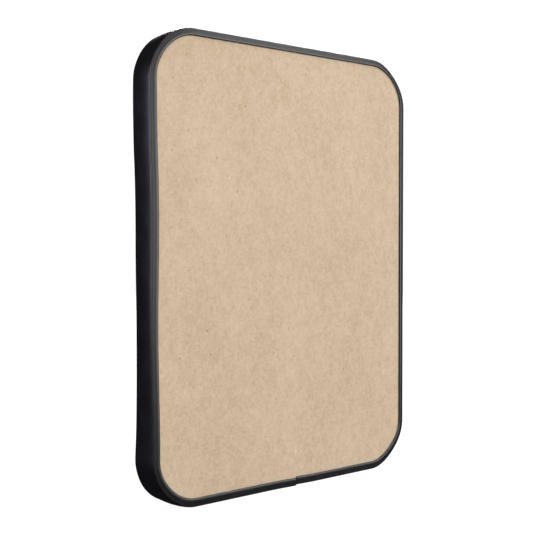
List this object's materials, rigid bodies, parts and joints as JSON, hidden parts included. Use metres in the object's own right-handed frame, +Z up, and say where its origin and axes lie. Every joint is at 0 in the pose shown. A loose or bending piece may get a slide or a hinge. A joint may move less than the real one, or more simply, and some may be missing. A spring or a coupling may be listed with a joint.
{
  "type": "wall punch pad",
  "caption": "Rectangular wall-mounted striking pad with rounded corners: a fibreboard back, foam layers under a crowned leathercloth cover, and a soft black edge trim bent round the rim.",
  "frame": {"origin": "centre of the plane of the trim's rear lip, the plane that touches the wall", "axes": "+Z up, +Y towards the wall, -Y the way the striking face looks, +X to the right as seen from the striker's side"},
  "size_m": [0.3, 0.035, 0.4],
  "materials": {
    "raw_fibreboard": "matte",
    "firm_foam": "matte",
    "soft_foam": "matte",
    "leathercloth": "satin",
    "soft_pvc": "satin",
    "galvanised_steel": "satin"
  },
  "bodies": {
    "root": {"back_board": "raw_fibreboard", "foam_base": "firm_foam", "foam_top": "soft_foam", "cover": "leathercloth", "edge_trim": "soft_pvc", "staple_01": "galvanised_steel", "staple_02": "galvanised_steel", "staple_03": "galvanised_steel", "staple_04": "galvanised_steel", "staple_05": "galvanised_steel", "staple_06": "galvanised_steel", "staple_07": "galvanised_steel", "staple_08": "galvanised_steel", "staple_09": "galvanised_steel", "staple_10": "galvanised_steel", "staple_11": "galvanised_steel", "staple_12": "galvanised_steel", "staple_13": "galvanised_steel", "staple_14": "galvanised_steel", "staple_15": "galvanised_steel", "staple_16": "galvanised_steel", "staple_17": "galvanised_steel", "staple_18": "galvanised_steel", "staple_19": "galvanised_steel", "staple_20": "galvanised_steel", "staple_21": "galvanised_steel", "staple_22": "galvanised_steel", "staple_23": "galvanised_steel", "staple_24": "galvanised_steel"}
  },
  "joints": []
}
